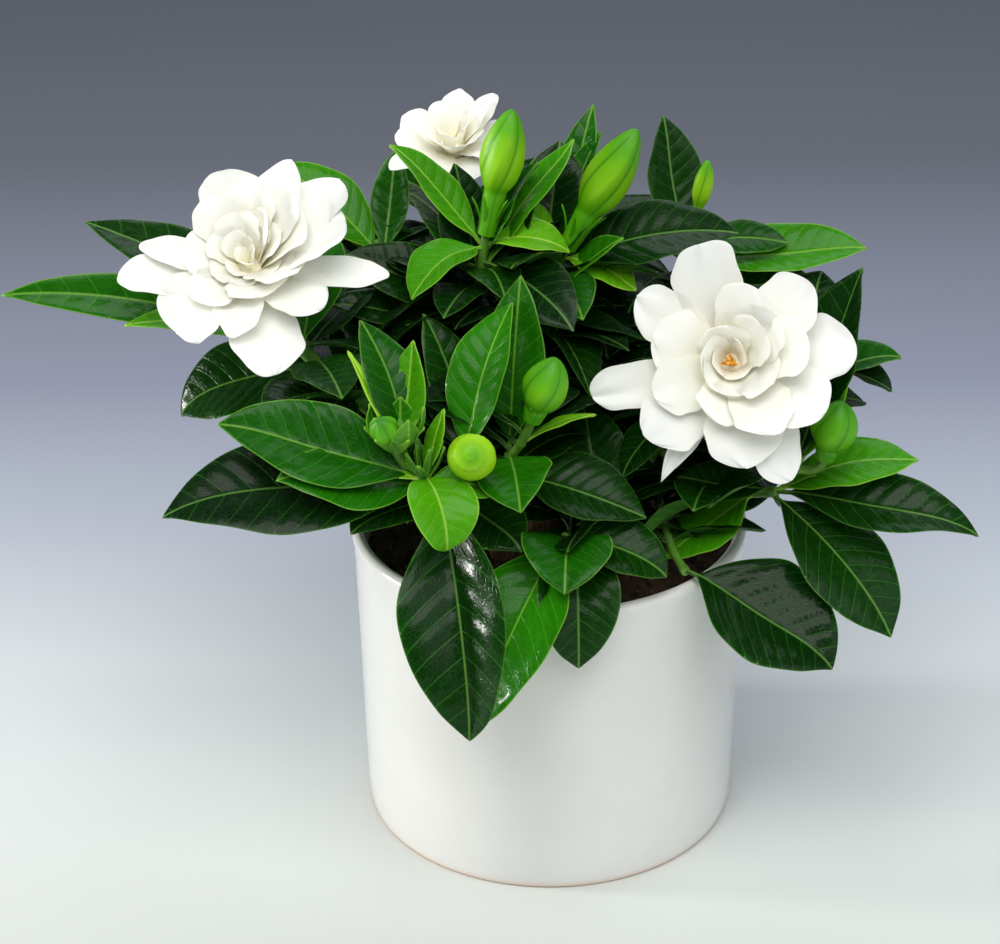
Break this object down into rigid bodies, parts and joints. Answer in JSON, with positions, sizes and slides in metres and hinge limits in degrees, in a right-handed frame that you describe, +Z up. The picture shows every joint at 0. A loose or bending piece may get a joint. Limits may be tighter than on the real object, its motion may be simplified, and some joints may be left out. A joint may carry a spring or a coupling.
{
  "type": "potted gardenia",
  "caption": "Potted flowering shrub: glossy-leaved gardenia bush with double blooms, buds and woody stems, standing in potting mix in a plain cylindrical glazed pot.",
  "frame": {"origin": "centre of the pot's underside, on the surface that it stands on", "axes": "+Z up along the pot's axis, +X to the right and -Y towards the front, the side with the open bloom and the low hanging leaves"},
  "size_m": [0.326, 0.2325, 0.265],
  "materials": {
    "glazed_earthenware": "smooth white glaze, glossy",
    "potting_mix": "moist dark peat and bark mix, matt",
    "woody_bark": "thin grey-brown bark, matt",
    "gardenia_leaf": "dark green leaf with a waxy gloss",
    "gardenia_bud": "lime green bud, satin",
    "gardenia_petal": "creamy white petal, soft satin",
    "stamen_gold": "golden orange anthers, matt"
  },
  "bodies": {
    "root": {"pot": "glazed_earthenware", "potting_mix": "potting_mix", "woody_stem_left": "woody_bark", "woody_stem_right": "woody_bark", "woody_stem_middle": "woody_bark", "woody_stem_back": "woody_bark", "shoot_front_left": "gardenia_leaf", "shoot_left": "gardenia_leaf", "shoot_front_right": "gardenia_leaf", "shoot_right": "gardenia_leaf", "shoot_top": "gardenia_leaf", "shoot_back_left": "gardenia_leaf", "shoot_back_right": "gardenia_leaf", "bud_top": "gardenia_bud", "bud_upper_right": "gardenia_bud", "bud_back_right": "gardenia_bud", "bud_centre": "gardenia_bud", "bud_spiral": "gardenia_bud", "bud_cluster": "gardenia_bud", "bud_right": "gardenia_bud", "bloom_left": "gardenia_petal", "bloom_right": "gardenia_petal", "bloom_back": "gardenia_petal", "stamens_right": "stamen_gold"}
  },
  "joints": []
}
